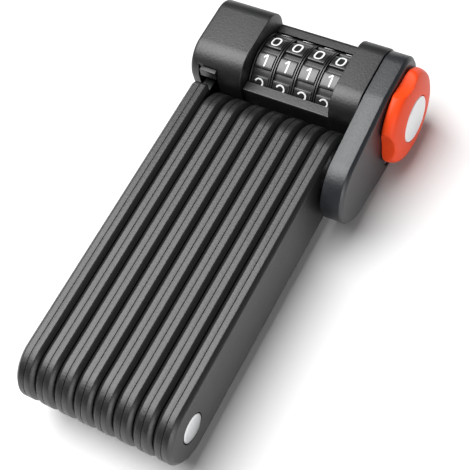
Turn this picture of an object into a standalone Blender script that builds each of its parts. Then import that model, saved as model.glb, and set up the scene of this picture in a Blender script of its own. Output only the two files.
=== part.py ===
"""Folding plate lock for a bicycle, folded flat, with a four-wheel code and a turning knob.

Lengths are in metres. The lock lies on its back: X runs across the stack of links, Y along the
links towards the lock body, and Z up. Drawing values are taken from the lock's own frame, whose
zero is the middle of the stack (X), the lower pivots (Y) and the links' middle plane (Z).
"""

import math

import bmesh
import bpy
from mathutils import Vector

MM = 0.001

# stack of links
LINKS = 8
LINK_PITCH = 8.0 * MM
LINK_HALF_THICKNESS = 3.8 * MM
LINK_RADIUS = 13.9 * MM
PIVOT_SPACING = 109.0 * MM
JACKET_RIM_BEVEL = 0.9 * MM
JACKET_HALF_SEAM = 0.15 * MM
POCKET_RADIUS = 12.3 * MM
POCKET_HALF_DEPTH = 2.5 * MM
CORE_RADIUS = 12.0 * MM
CORE_HALF_THICKNESS = 2.2 * MM
SHORT_JACKET_END = 119.3 * MM

# rivets
SHANK_RADIUS = 4.0 * MM
SHANK_HOLE_RADIUS = 4.3 * MM
HEAD_RADIUS = 5.4 * MM
HEAD_HOLE_RADIUS = 5.9 * MM

# lock body
BODY_LEFT = -36.1 * MM
BODY_BACK = 158.6 * MM
BODY_HALF_HEIGHT = 20.0 * MM
SHELL_FRONT = 123.2 * MM
SHELL_RIGHT = -13.9 * MM
CRADLE_FRONT = 124.2 * MM
CRADLE_LEFT = -13.6 * MM
CRADLE_RIGHT = 22.6 * MM
SHELF_HEIGHT = 9.5 * MM
SPINE_HEIGHT = 9.5 * MM
COLLAR_FRONT = 123.4 * MM
COLLAR_LEFT = 22.9 * MM
COLLAR_RIGHT = 33.9 * MM
CAP_LEFT = 34.2 * MM
CAP_RIGHT = 42.9 * MM
CAP_TOP = 19.3 * MM
EAR_RADIUS = 15.4 * MM
EAR_CORNER = 13.5 * MM
EAR_END = 92.0 * MM

# code wheels
WHEELS = 4
WHEEL_PITCH = 9.1 * MM
WHEEL_HALF_WIDTH = 4.35 * MM
WHEEL_MIDDLE = 4.5 * MM
WHEEL_RADIUS = 15.5 * MM
WHEEL_GROOVE_RADIUS = 14.5 * MM
WHEEL_BORE = 7.8 * MM
PADS = 10
TROUGH_RADIUS = 15.9 * MM

# bolt, knob and their drive
AXIS_Y = 141.0 * MM
BOLT_RADIUS = 4.0 * MM
BOLT_HOLE_RADIUS = 4.4 * MM
BOLT_TIP = -24.1 * MM
BOLT_END = 32.5 * MM
BOLT_TRAVEL = 6.0 * MM
PIN_X = 31.3 * MM
PIN_RADIUS = 1.2 * MM
KNOB_REAR = 43.2 * MM
KNOB_FRONT = 50.0 * MM
KNOB_RADIUS = 18.5 * MM
KNOB_LOBES = 4
KNOB_LOBE_ANGLE = math.radians(129)
HOLLOW_FLOOR = 15.9 * MM
HOLLOW_RADIUS = 22.0 * MM

# the row frame's zero: the middle of the bounding box's base
FRAME_SHIFT = Vector(
    (
        -(BODY_LEFT + KNOB_FRONT) / 2,
        -(BODY_BACK - LINK_RADIUS) / 2,
        BODY_HALF_HEIGHT,
    )
)

# turned pieces start a little off the vertical, so that no two facets share a corner line
SEAM_TURN = math.radians(9)

ARC_STEP = math.radians(22.5)

COLLECTION = "folding_lock"
CUTTERS = "folding_lock_cutters"


def clear_scene():
    """Remove whatever the start-up scene holds."""
    for item in list(bpy.data.objects):
        bpy.data.objects.remove(item, do_unlink=True)


def collection(name):
    """The collection of this name, made and linked on first use."""
    found = bpy.data.collections.get(name)
    if found is None:
        found = bpy.data.collections.new(name)
        bpy.context.scene.collection.children.link(found)
    return found


def material(name, colour, roughness, metallic):
    """A Principled material for one sub-part."""
    made = bpy.data.materials.new(name)
    made.use_nodes = True
    made.diffuse_color = (*colour, 1.0)
    shader = made.node_tree.nodes["Principled BSDF"]
    shader.inputs["Base Color"].default_value = (*colour, 1.0)
    shader.inputs["Roughness"].default_value = roughness
    shader.inputs["Metallic"].default_value = metallic
    return made


def jacket_look(name):
    return material(name, (0.055, 0.056, 0.058), 0.55, 0.0)


def shell_look(name):
    return material(name, (0.06, 0.062, 0.066), 0.5, 0.0)


def steel_look(name):
    return material(name, (0.62, 0.63, 0.64), 0.35, 1.0)


def orange_look(name):
    return material(name, (0.86, 0.09, 0.02), 0.4, 0.0)


def white_look(name):
    return material(name, (0.8, 0.82, 0.84), 0.3, 0.0)


def brass_look(name):
    return material(name, (0.72, 0.56, 0.27), 0.35, 1.0)


def shade(mesh):
    """Smooth shading with the real edges kept sharp."""
    mesh.shade_smooth()
    mesh.set_sharp_from_angle(angle=math.radians(35))


def place(mesh, name, pivot, look):
    """An object from a mesh drawn in the lock's own frame, with its origin on the given pivot."""
    pivot = Vector(pivot)
    for vertex in mesh.vertices:
        vertex.co -= pivot
    mesh.name = name
    shade(mesh)
    made = bpy.data.objects.new(name, mesh)
    made.location = pivot + FRAME_SHIFT
    if look is None:
        made.hide_render = True
        made.display_type = "WIRE"
        collection(CUTTERS).objects.link(made)
    else:
        mesh.materials.append(look(name + "_look"))
        collection(COLLECTION).objects.link(made)
    return made


def mesh_from(source):
    """A mesh from a bmesh, which is freed, with its normals turned outward."""
    bmesh.ops.recalc_face_normals(source, faces=source.faces)
    if source.calc_volume(signed=True) < 0:
        bmesh.ops.reverse_faces(source, faces=source.faces)
    mesh = bpy.data.meshes.new("draft")
    source.to_mesh(mesh)
    source.free()
    return mesh


def arc_points(centre, start, end, radius, steps):
    """Points from one unit direction to another about a centre, both ends included."""
    first = math.atan2(start[1], start[0])
    turn = math.atan2(end[1], end[0]) - first
    turn = (turn + math.pi) % (2 * math.pi) - math.pi
    angles = [first + turn * i / steps for i in range(steps + 1)]
    return [(centre[0] + radius * math.cos(a), centre[1] + radius * math.sin(a)) for a in angles]


def rounded_outline(corners, step=ARC_STEP, inset=0.0):
    """A closed outline through corners (y, z, radius), each one rounded by an arc.

    An inset draws it that much smaller, about the same arc centres.
    """
    points = []
    for i, (y, z, radius) in enumerate(corners):
        corner = Vector((y, z))
        back = (Vector(corners[i - 1][:2]) - corner).normalized()
        ahead = (Vector(corners[(i + 1) % len(corners)][:2]) - corner).normalized()
        half = back.angle(ahead) / 2
        if radius <= 0 or half > math.radians(89):
            points.append((y, z))
            continue
        centre = corner + (back + ahead).normalized() * (radius / math.sin(half))
        run = radius / math.tan(half)
        start = corner + back * run - centre
        end = corner + ahead * run - centre
        steps = max(1, round((math.pi - 2 * half) / step))
        points += arc_points(centre, start, end, radius - inset, steps)
    return [p for i, p in enumerate(points) if (Vector(p) - Vector(points[i - 1])).length > 1e-6]


def stadium(y0, y1, radius):
    """The outline of a bar with two round ends about (y0, 0) and (y1, 0)."""
    low, high = y0 - radius, y1 + radius
    return [(low, radius), (low, -radius), (high, -radius), (high, radius)]


def round_bar(y0, y1, radius):
    outline = [(y, z, radius) for y, z in stadium(y0, y1, radius)]
    return rounded_outline(outline)


def plate(outline, x0, x1, merge=False):
    """A flat plate: a closed (y, z) outline filled as a 2D curve and extruded from x0 to x1."""
    curve = bpy.data.curves.new("draft", "CURVE")
    curve.dimensions = "2D"
    curve.fill_mode = "BOTH"
    curve.extrude = (x1 - x0) / 2
    line = curve.splines.new("POLY")
    line.points.add(len(outline) - 1)
    for point, (y, z) in zip(line.points, outline, strict=True):
        point.co = (y, z, 0.0, 1.0)
    line.use_cyclic_u = True
    holder = bpy.data.objects.new("draft", curve)
    bpy.context.scene.collection.objects.link(holder)
    graph = bpy.context.evaluated_depsgraph_get()
    drawn = bpy.data.meshes.new_from_object(holder.evaluated_get(graph))
    bpy.data.objects.remove(holder, do_unlink=True)
    bpy.data.curves.remove(curve)
    solid = bmesh.new()
    solid.from_mesh(drawn)
    bpy.data.meshes.remove(drawn)
    bmesh.ops.remove_doubles(solid, verts=solid.verts, dist=0.001 * MM)
    middle = (x0 + x1) / 2
    for vertex in solid.verts:
        y, z, x = vertex.co
        vertex.co = (middle + x, y, z)
    if merge:
        bmesh.ops.dissolve_limit(
            solid, angle_limit=math.radians(0.1), verts=solid.verts, edges=solid.edges
        )
    return mesh_from(solid)


def turned(profile, y, z=0.0, steps=14):
    """A solid of revolution about an X line through (y, z), from (x, radius) points."""
    solid = bmesh.new()
    side, up = math.sin(SEAM_TURN), math.cos(SEAM_TURN)
    line = [solid.verts.new((x, radius * side, radius * up)) for x, radius in profile]
    for a, b in zip(line, line[1:]):
        solid.edges.new((a, b))
    draft = bpy.data.meshes.new("draft")
    solid.to_mesh(draft)
    solid.free()
    holder = bpy.data.objects.new("draft", draft)
    bpy.context.scene.collection.objects.link(holder)
    screw = holder.modifiers.new("turn", "SCREW")
    screw.axis = "X"
    screw.steps = steps
    screw.render_steps = steps
    screw.use_merge_vertices = True
    screw.merge_threshold = 0.001 * MM
    graph = bpy.context.evaluated_depsgraph_get()
    drawn = bpy.data.meshes.new_from_object(holder.evaluated_get(graph))
    bpy.data.objects.remove(holder, do_unlink=True)
    bpy.data.meshes.remove(draft)
    solid = bmesh.new()
    solid.from_mesh(drawn)
    bpy.data.meshes.remove(drawn)
    bmesh.ops.remove_doubles(solid, verts=solid.verts, dist=0.001 * MM)
    for vertex in solid.verts:
        vertex.co += Vector((0.0, y, z))
    return mesh_from(solid)


def tube(x0, x1, outer, inner, y, z=0.0, steps=18):
    """A plain tube about an X line."""
    return turned([(x0, inner), (x0, outer), (x1, outer), (x1, inner), (x0, inner)], y, z, steps)


def rod(x0, x1, radius, y, z=0.0, steps=20):
    """A plain rod along X."""
    return turned([(x0, 0.0), (x0, radius), (x1, radius), (x1, 0.0)], y, z, steps)


def block(low, high):
    """A box between two corners."""
    solid = bmesh.new()
    bmesh.ops.create_cube(solid, size=1.0)
    for vertex in solid.verts:
        share = [0.5 + value for value in vertex.co]
        vertex.co = [a + (b - a) * t for a, b, t in zip(low, high, share, strict=True)]
    return mesh_from(solid)


def ring_loft(rings, closed):
    """A skin over rings of equal point counts, either capped at both ends or closed on itself."""
    solid = bmesh.new()
    rows = [[solid.verts.new(point) for point in ring] for ring in rings]
    count = len(rows[0])
    pairs = list(zip(rows, rows[1:]))
    if closed:
        pairs.append((rows[-1], rows[0]))
    else:
        solid.faces.new(rows[0])
        solid.faces.new(rows[-1])
    for a, b in pairs:
        for i in range(count):
            j = (i + 1) % count
            solid.faces.new((a[i], a[j], b[j], b[i]))
    return mesh_from(solid)


def cut(target, cutter, operation="DIFFERENCE"):
    """A live Boolean on the target."""
    step = target.modifiers.new("cut", "BOOLEAN")
    step.operation = operation
    step.solver = "EXACT"
    step.object = cutter


def edged_plate(corners, x0, x1, rim0, rim1):
    """A plate between x0 and x1 as a loft of its outline, with a chamfer round either face."""
    way = math.copysign(1.0, x1 - x0)
    stations = [(x0, rim0), (x0 + way * rim0, 0.0), (x1 - way * rim1, 0.0), (x1, rim1)]
    if rim0 == 0:
        del stations[1]
    rings = []
    for x, inset in stations:
        rings.append([(x, y, z) for y, z in rounded_outline(corners, inset=inset)])
    return ring_loft(rings, False)


def link_middle(link):
    """The X of a link's middle; link 1 is at the left."""
    return LINK_PITCH * (link - (LINKS + 1) / 2)


def pivot_y(link):
    """Where a link turns on the one to its right: bottom and top by turns, the last at the ear."""
    return 0.0 if link % 2 else PIVOT_SPACING


def jacket_corners(link):
    """The corners of a link's jacket; link 1's is cut square before the lock body."""
    if link > 1:
        return [(y, z, LINK_RADIUS) for y, z in stadium(0.0, PIVOT_SPACING, LINK_RADIUS)]
    return [
        (-LINK_RADIUS, LINK_RADIUS, LINK_RADIUS),
        (-LINK_RADIUS, -LINK_RADIUS, LINK_RADIUS),
        (SHORT_JACKET_END, -LINK_RADIUS, 1.5 * MM),
        (SHORT_JACKET_END, LINK_RADIUS, 1.5 * MM),
    ]


def tongue_outline(grow):
    """Link 1's steel core: a round-ended bar whose far end narrows to the locking tongue."""
    radius = CORE_RADIUS + grow
    half = 8.5 * MM + grow
    shoulder = 117.0 * MM + grow
    tip = 148.5 * MM + grow
    corners = [
        (-radius, radius, radius),
        (-radius, -radius, radius),
        (shoulder, -radius, 1.5 * MM),
        (shoulder, -half, 0.0),
        (tip, -half, half),
        (tip, half, half),
        (shoulder, half, 0.0),
        (shoulder, radius, 1.5 * MM),
    ]
    return rounded_outline(corners)


def core_outline(link, grow):
    if link == 1:
        return tongue_outline(grow)
    return round_bar(0.0, PIVOT_SPACING, CORE_RADIUS + grow)


def rivet_profile(left, right, shank, head, flush_left, flush_right, rise):
    """A shank between two heads whose outer faces are domed by rise."""
    return [
        (flush_left - rise, 0.0),
        (flush_left, head),
        (left, head),
        (left, shank),
        (right, shank),
        (right, head),
        (flush_right, head),
        (flush_right + rise, 0.0),
    ]


def make_rivet(link):
    """The rivet on which a link turns against the next one to its right, and its clearance."""
    y = pivot_y(link)
    left_face = link_middle(link) - LINK_HALF_THICKNESS
    right_face = link_middle(link + 1) + LINK_HALF_THICKNESS
    head_depth = LINK_HALF_THICKNESS - POCKET_HALF_DEPTH
    rise = 0.15 * MM
    recess = 0.35 * MM
    profile = rivet_profile(
        left_face + head_depth,
        right_face - head_depth,
        SHANK_RADIUS,
        HEAD_RADIUS,
        left_face + recess,
        right_face - recess,
        rise,
    )
    if link + 1 == LINKS:
        profile[-2:] = [
            (right_face - 0.1 * MM, HEAD_RADIUS),
            (right_face + 0.35 * MM, HEAD_RADIUS * 0.6),
            (right_face + 0.55 * MM, 0.0),
        ]
    hole = [
        (left_face - 0.2 * MM, 0.0),
        (left_face - 0.2 * MM, HEAD_HOLE_RADIUS),
        (left_face + head_depth + 0.15 * MM, HEAD_HOLE_RADIUS),
        (left_face + head_depth + 0.15 * MM, SHANK_HOLE_RADIUS),
        (right_face - head_depth - 0.15 * MM, SHANK_HOLE_RADIUS),
        (right_face - head_depth - 0.15 * MM, HEAD_HOLE_RADIUS),
        (right_face + 0.2 * MM, HEAD_HOLE_RADIUS),
        (right_face + 0.2 * MM, 0.0),
    ]
    middle = ((left_face + right_face) / 2, y, 0.0)
    place(turned(profile, y), f"rivet_{link}", middle, steel_look)
    return place(turned(hole, y), f"rivet_hole_{link}", middle, None)


def make_ear_pin():
    """The pin fixed in the end cap's ear, on which link 8 turns, and its clearance."""
    left_face = link_middle(LINKS) - LINK_HALF_THICKNESS
    head_depth = LINK_HALF_THICKNESS - POCKET_HALF_DEPTH
    end = 39.2 * MM
    profile = [
        (left_face + 0.2 * MM, 0.0),
        (left_face + 0.35 * MM, HEAD_RADIUS),
        (left_face + head_depth, HEAD_RADIUS),
        (left_face + head_depth, SHANK_RADIUS),
        (end, SHANK_RADIUS),
        (end, 0.0),
    ]
    hole = [
        (left_face - 0.2 * MM, 0.0),
        (left_face - 0.2 * MM, HEAD_HOLE_RADIUS),
        (left_face + head_depth + 0.15 * MM, HEAD_HOLE_RADIUS),
        (left_face + head_depth + 0.15 * MM, SHANK_HOLE_RADIUS),
        (end + 0.3 * MM, SHANK_HOLE_RADIUS),
        (end + 0.3 * MM, 0.0),
    ]
    pivot = (CAP_LEFT, PIVOT_SPACING, 0.0)
    place(turned(profile, PIVOT_SPACING), "ear_pin", pivot, steel_look)
    return place(turned(hole, PIVOT_SPACING), "ear_pin_hole", pivot, None)


def make_link(link, holes):
    """One link: a hardened steel core between the two halves of its plastic jacket."""
    middle = link_middle(link)
    pivot = (middle, pivot_y(link), 0.0)
    core = place(
        plate(
            core_outline(link, 0.0),
            middle - CORE_HALF_THICKNESS,
            middle + CORE_HALF_THICKNESS,
            link > 1,
        ),
        f"link_{link}_core",
        pivot,
        steel_look,
    )
    pocket = place(
        plate(
            core_outline(link, POCKET_RADIUS - CORE_RADIUS),
            middle - POCKET_HALF_DEPTH,
            middle + POCKET_HALF_DEPTH,
            link > 1,
        ),
        f"link_{link}_pocket",
        pivot,
        None,
    )
    pieces = [core]
    for side, word in ((-1, "left"), (1, "right")):
        outer = middle + side * LINK_HALF_THICKNESS
        inner = middle + side * JACKET_HALF_SEAM
        mesh = edged_plate(jacket_corners(link), inner, outer, 0.0, JACKET_RIM_BEVEL)
        jacket = place(mesh, f"link_{link}_jacket_{word}", pivot, jacket_look)
        cut(jacket, pocket)
        pieces.append(jacket)
    for piece in pieces:
        for hole in holes:
            cut(piece, hole)
    return core


def make_links():
    """All eight links with their rivets and the pin in the ear."""
    holes = {link: make_rivet(link) for link in range(1, LINKS)}
    holes[LINKS] = make_ear_pin()
    tongue_hole = place(
        rod(-40.0 * MM, -20.0 * MM, BOLT_HOLE_RADIUS, AXIS_Y),
        "tongue_hole",
        (link_middle(1), AXIS_Y, 0.0),
        None,
    )
    for link in range(1, LINKS + 1):
        around = [holes[n] for n in (link - 1, link) if n in holes]
        core = make_link(link, around)
        if link == 1:
            cut(core, tongue_hole)
    return holes[LINKS]


def body_corners(front, top, front_radius, back_radius):
    """The lock body's rounded section."""
    corners = [
        (front, top, front_radius),
        (BODY_BACK, top, back_radius),
        (BODY_BACK, -top, back_radius),
        (front, -top, front_radius),
    ]
    return corners


def make_left_shell():
    """The body's left end with the slot that takes link 1's tongue."""
    pivot = (BODY_LEFT, AXIS_Y, 0.0)
    corners = body_corners(SHELL_FRONT, BODY_HALF_HEIGHT, 11.0 * MM, 9.0 * MM)
    mesh = edged_plate(corners, BODY_LEFT, SHELL_RIGHT, 0.8 * MM, 0.4 * MM)
    shell = place(mesh, "left_shell", pivot, shell_look)
    slot_left, slot_right = -32.2 * MM, -23.8 * MM
    slot = block((slot_left, 90 * MM, -30 * MM), (slot_right, 149.2 * MM, 13.2 * MM))
    cut(shell, place(slot, "tongue_slot", pivot, None))
    notch = block((slot_left, 90 * MM, 10 * MM), (slot_right, 125.4 * MM, 30 * MM))
    cut(shell, place(notch, "slot_notch", pivot, None))
    return shell


def make_tongue_guide():
    """The plate that roofs the tongue's slot, with a lip that fills the notch over link 1."""
    outline = [
        (SHELL_FRONT, 11.4 * MM),
        (SHELL_FRONT, 15.1 * MM),
        (125.1 * MM, 15.1 * MM),
        (125.1 * MM, 12.9 * MM),
        (148.8 * MM, 12.9 * MM),
        (148.8 * MM, 11.4 * MM),
    ]
    mesh = plate(outline, -31.0 * MM, -24.1 * MM)
    place(mesh, "tongue_guide", (-27.5 * MM, AXIS_Y, 12.0 * MM), shell_look)


def make_cradle():
    """The trough under the code wheels, with the shelf before them and the spine behind."""
    front = math.pi - math.asin(SHELF_HEIGHT / TROUGH_RADIUS)
    back = math.asin(SPINE_HEIGHT / TROUGH_RADIUS) + math.tau
    trough = [front + (back - front) * i / 24 for i in range(25)]
    corners = [
        (CRADLE_FRONT, SHELF_HEIGHT, 1.0 * MM),
        *[(AXIS_Y + TROUGH_RADIUS * math.cos(a), TROUGH_RADIUS * math.sin(a), 0.0) for a in trough],
        (BODY_BACK, SPINE_HEIGHT, 2.0 * MM),
        (BODY_BACK, -BODY_HALF_HEIGHT, 9.0 * MM),
        (CRADLE_FRONT, -BODY_HALF_HEIGHT, 8.0 * MM),
    ]
    pivot = (WHEEL_MIDDLE, AXIS_Y, 0.0)
    mesh = plate(rounded_outline(corners), CRADLE_LEFT, CRADLE_RIGHT)
    cradle = place(mesh, "cradle", pivot, shell_look)
    recess = block((-13.0 * MM, 134.7 * MM, -17.6 * MM), (22.0 * MM, 149.3 * MM, -12.0 * MM))
    cut(cradle, place(recess, "spring_recess", pivot, None))
    return cradle


def make_detent_spring():
    """A comb of four leaf fingers under the code wheels, each with a ridge for the wheel."""
    comb = plate(
        [
            (135.0 * MM, -17.3 * MM),
            (149.0 * MM, -17.3 * MM),
            (149.0 * MM, -16.7 * MM),
            (142.2 * MM, -16.7 * MM),
            (141.7 * MM, -16.2 * MM),
            (140.3 * MM, -16.2 * MM),
            (139.8 * MM, -16.7 * MM),
            (135.0 * MM, -16.7 * MM),
        ],
        -12.7 * MM,
        21.7 * MM,
    )
    spring = place(comb, "detent_spring", (WHEEL_MIDDLE, 148.0 * MM, -17.0 * MM), steel_look)
    for gap in range(1, WHEELS):
        x = WHEEL_MIDDLE + WHEEL_PITCH * (gap - WHEELS / 2)
        slit = block((x - MM, 130 * MM, -19 * MM), (x + MM, 146.5 * MM, -15 * MM))
        cut(spring, place(slit, f"spring_slit_{gap}", (x, AXIS_Y, 0.0), None))


def make_collar():
    """The block between the wheels and the end cap, hollow for the knob's drive."""
    pivot = (COLLAR_LEFT, AXIS_Y, 0.0)
    corners = body_corners(COLLAR_FRONT, CAP_TOP + 0.3 * MM, 10.0 * MM, 9.0 * MM)
    mesh = edged_plate(corners, COLLAR_LEFT, COLLAR_RIGHT, 0.4 * MM, 0.3 * MM)
    collar = place(mesh, "right_collar", pivot, shell_look)
    chamber = rod(23.8 * MM, COLLAR_RIGHT + MM, 8.1 * MM, AXIS_Y)
    cut(collar, place(chamber, "drive_chamber", pivot, None))
    guides = block((23.8 * MM, AXIS_Y - 1.5 * MM, -9.6 * MM), (36 * MM, AXIS_Y + 1.5 * MM, 9.6 * MM))
    cut(collar, place(guides, "pin_grooves", pivot, None))
    return collar


def cap_corners():
    """The end cap's section: the body's rounded end drawn out to the ear."""
    return [
        (EAR_END, EAR_CORNER, EAR_RADIUS),
        (133.0 * MM, CAP_TOP, 20.0 * MM),
        (BODY_BACK, CAP_TOP, 10.0 * MM),
        (BODY_BACK, -CAP_TOP, 10.0 * MM),
        (133.0 * MM, -CAP_TOP, 20.0 * MM),
        (EAR_END, -EAR_CORNER, EAR_RADIUS),
    ]


def make_end_cap(pin_hole):
    """The cast end of the body, drawn out to the ear that carries link 8."""
    mesh = edged_plate(cap_corners(), CAP_LEFT, CAP_RIGHT, 0.3 * MM, 1.2 * MM)
    pivot = (CAP_LEFT, PIVOT_SPACING, 0.0)
    cap = place(mesh, "end_cap", pivot, shell_look)
    cut(cap, pin_hole)
    shaft_hole = rod(30 * MM, 50 * MM, 5.3 * MM, AXIS_Y)
    cut(cap, place(shaft_hole, "shaft_hole", pivot, None))
    return cap


def make_ear_washer():
    """The spacer on the ear pin between link 8 and the end cap."""
    mesh = tube(32.1 * MM, 33.9 * MM, 9.0 * MM, SHANK_HOLE_RADIUS, PIVOT_SPACING)
    place(mesh, "ear_washer", (33.0 * MM, PIVOT_SPACING, 0.0), steel_look)


def screw_profile(left, right, radius, head):
    return [
        (left, 0.0),
        (left, radius * 0.7),
        (left + 0.5 * MM, radius),
        (right - 2.4 * MM, radius),
        (right - 2.4 * MM, head),
        (right - 0.4 * MM, head),
        (right, head - 0.4 * MM),
        (right, 0.0),
    ]


def make_tie_screws(body):
    """Two long screws that hold the body's pieces together, headed under the knob."""
    left, right, radius, head = -20.5 * MM, 42.4 * MM, 1.5 * MM, 2.7 * MM
    for number, y in ((1, 129.0 * MM), (2, 152.0 * MM)):
        z = -13.3 * MM
        pivot = (right, y, z)
        shaft = screw_profile(left, right, radius, head)
        screw = place(turned(shaft, y, z, 12), f"tie_screw_{number}", pivot, steel_look)
        socket = [
            (right + MM, y + 1.3 * MM * math.cos(a), z + 1.3 * MM * math.sin(a))
            for a in (math.tau * i / 6 for i in range(6))
        ]
        floor = [(right - 1.2 * MM, *point[1:]) for point in socket]
        cut(screw, place(ring_loft([socket, floor], False), f"hex_{number}", pivot, None))
        clearance = [
            (left - 0.3 * MM, 0.0),
            (left - 0.3 * MM, radius + 0.3 * MM),
            (right - 2.7 * MM, radius + 0.3 * MM),
            (right - 2.7 * MM, head + 0.3 * MM),
            (right + 2 * MM, head + 0.3 * MM),
            (right + 2 * MM, 0.0),
        ]
        hole = place(turned(clearance, y, z, 12), f"tie_screw_hole_{number}", pivot, None)
        for piece in body:
            cut(piece, hole)


def wheel_ring(x, pad_radius, groove_radius):
    """One ring of a code wheel: ten raised pads, three points wide, and ten grooves."""
    ring = []
    for pad in range(PADS):
        middle = math.tau * (pad + 0.5) / PADS + math.pi / 2
        for offset, radius in (
            (-16.0, groove_radius),
            (-13.5, pad_radius),
            (0.0, pad_radius),
            (13.5, pad_radius),
            (16.0, groove_radius),
        ):
            a = middle + math.radians(offset)
            ring.append((x, AXIS_Y + radius * math.cos(a), radius * math.sin(a)))
    return ring


def make_wheels():
    """Four code wheels, each with its code sleeve inside."""
    rim = 0.75 * MM
    half = WHEEL_HALF_WIDTH
    low = WHEEL_GROOVE_RADIUS
    for number in range(1, WHEELS + 1):
        x = WHEEL_MIDDLE + WHEEL_PITCH * (number - (WHEELS + 1) / 2)
        rings = [
            wheel_ring(x - half, WHEEL_BORE, WHEEL_BORE),
            wheel_ring(x - half, WHEEL_RADIUS, WHEEL_RADIUS),
            wheel_ring(x - half + rim, WHEEL_RADIUS, WHEEL_RADIUS),
            wheel_ring(x - half + rim + 0.3 * MM, WHEEL_RADIUS, low),
            wheel_ring(x + half - rim - 0.3 * MM, WHEEL_RADIUS, low),
            wheel_ring(x + half - rim, WHEEL_RADIUS, WHEEL_RADIUS),
            wheel_ring(x + half, WHEEL_RADIUS, WHEEL_RADIUS),
            wheel_ring(x + half, WHEEL_BORE, WHEEL_BORE),
        ]
        pivot = (x, AXIS_Y, 0.0)
        place(ring_loft(rings, True), f"code_wheel_{number}", pivot, shell_look)
        sleeve = tube(x - 3.9 * MM, x + 3.9 * MM, 7.4 * MM, BOLT_HOLE_RADIUS, AXIS_Y)
        made = place(sleeve, f"code_sleeve_{number}", pivot, brass_look)
        gate = block((x - 1.2 * MM, AXIS_Y - MM, 6.2 * MM), (x + 1.2 * MM, AXIS_Y + MM, 9 * MM))
        cut(made, place(gate, f"code_gate_{number}", pivot, None))


def make_bolt():
    """The locking bolt on the wheels' axis and the cross pin that drives it."""
    profile = [
        (BOLT_TIP, 0.0),
        (BOLT_TIP, BOLT_RADIUS - 0.6 * MM),
        (BOLT_TIP + 0.6 * MM, BOLT_RADIUS),
        (BOLT_END, BOLT_RADIUS),
        (BOLT_END, 0.0),
    ]
    pivot = (PIN_X, AXIS_Y, 0.0)
    bolt = place(turned(profile, AXIS_Y), "locking_bolt", pivot, steel_look)
    pin = bmesh.new()
    bmesh.ops.create_cone(
        pin, cap_ends=True, segments=16, radius1=PIN_RADIUS, radius2=PIN_RADIUS, depth=18.0 * MM
    )
    for vertex in pin.verts:
        vertex.co += Vector(pivot)
    place(mesh_from(pin), "bolt_pin", pivot, steel_look)
    hole = bmesh.new()
    wide = PIN_RADIUS + 0.2 * MM
    bmesh.ops.create_cone(
        hole, cap_ends=True, segments=16, radius1=wide, radius2=wide, depth=20.0 * MM
    )
    for vertex in hole.verts:
        vertex.co += Vector(pivot)
    cut(bolt, place(mesh_from(hole), "bolt_pin_hole", pivot, None))


def spiral_slot(start):
    """The room one end of the cross pin sweeps through the sleeve in a quarter turn."""
    middle_radius = 6.0 * MM
    quarter = middle_radius * math.pi / 2
    slope = math.hypot(BOLT_TRAVEL, quarter)
    half = PIN_RADIUS + 0.5 * MM
    along, around = half * quarter / slope, half * BOLT_TRAVEL / slope / middle_radius
    turns = 12
    rings = []
    for i in range(-2, turns + 3):
        share = i / turns
        ring = []
        for radius, side in ((3.6 * MM, -1), (9.0 * MM, -1), (9.0 * MM, 1), (3.6 * MM, 1)):
            x = PIN_X - BOLT_TRAVEL * share + side * along
            angle = start - math.pi / 2 * share - side * around
            ring.append((x, AXIS_Y + radius * math.cos(angle), radius * math.sin(angle)))
        rings.append(ring)
    return ring_loft(rings, False)


def make_drive():
    """The sleeve whose two spiral slots turn the knob's quarter turn into the bolt's travel."""
    pivot = (34.0 * MM, AXIS_Y, 0.0)
    profile = [
        (24.1 * MM, 0.0),
        (24.1 * MM, 7.6 * MM),
        (33.8 * MM, 7.6 * MM),
        (33.8 * MM, 0.0),
    ]
    sleeve = place(turned(profile, AXIS_Y), "drive_sleeve", pivot, steel_look)
    bore = rod(20.0 * MM, 32.9 * MM, BOLT_HOLE_RADIUS, AXIS_Y)
    cut(sleeve, place(bore, "sleeve_bore", pivot, None))
    for number, start in ((1, math.pi / 2), (2, -math.pi / 2)):
        cut(sleeve, place(spiral_slot(start), f"spiral_slot_{number}", pivot, None))
    shaft = place(rod(34.0 * MM, 45.0 * MM, 5.0 * MM, AXIS_Y), "knob_shaft", pivot, steel_look)
    return shaft


def knob_ring(x, radius):
    """One ring of the knob: a circle cut by the round hollow between each two lobes."""
    ring = []
    steps = 72
    share = math.tau / KNOB_LOBES
    reach = HOLLOW_FLOOR + HOLLOW_RADIUS
    for i in range(steps):
        a = math.tau * i / steps
        off = (a - KNOB_LOBE_ANGLE) % share - share / 2
        inside = HOLLOW_RADIUS**2 - (reach * math.sin(off)) ** 2
        limit = reach * math.cos(off) - math.sqrt(inside) if inside > 0 else radius
        r = min(radius, limit)
        ring.append((x, AXIS_Y + r * math.cos(a), r * math.sin(a)))
    return ring


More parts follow.
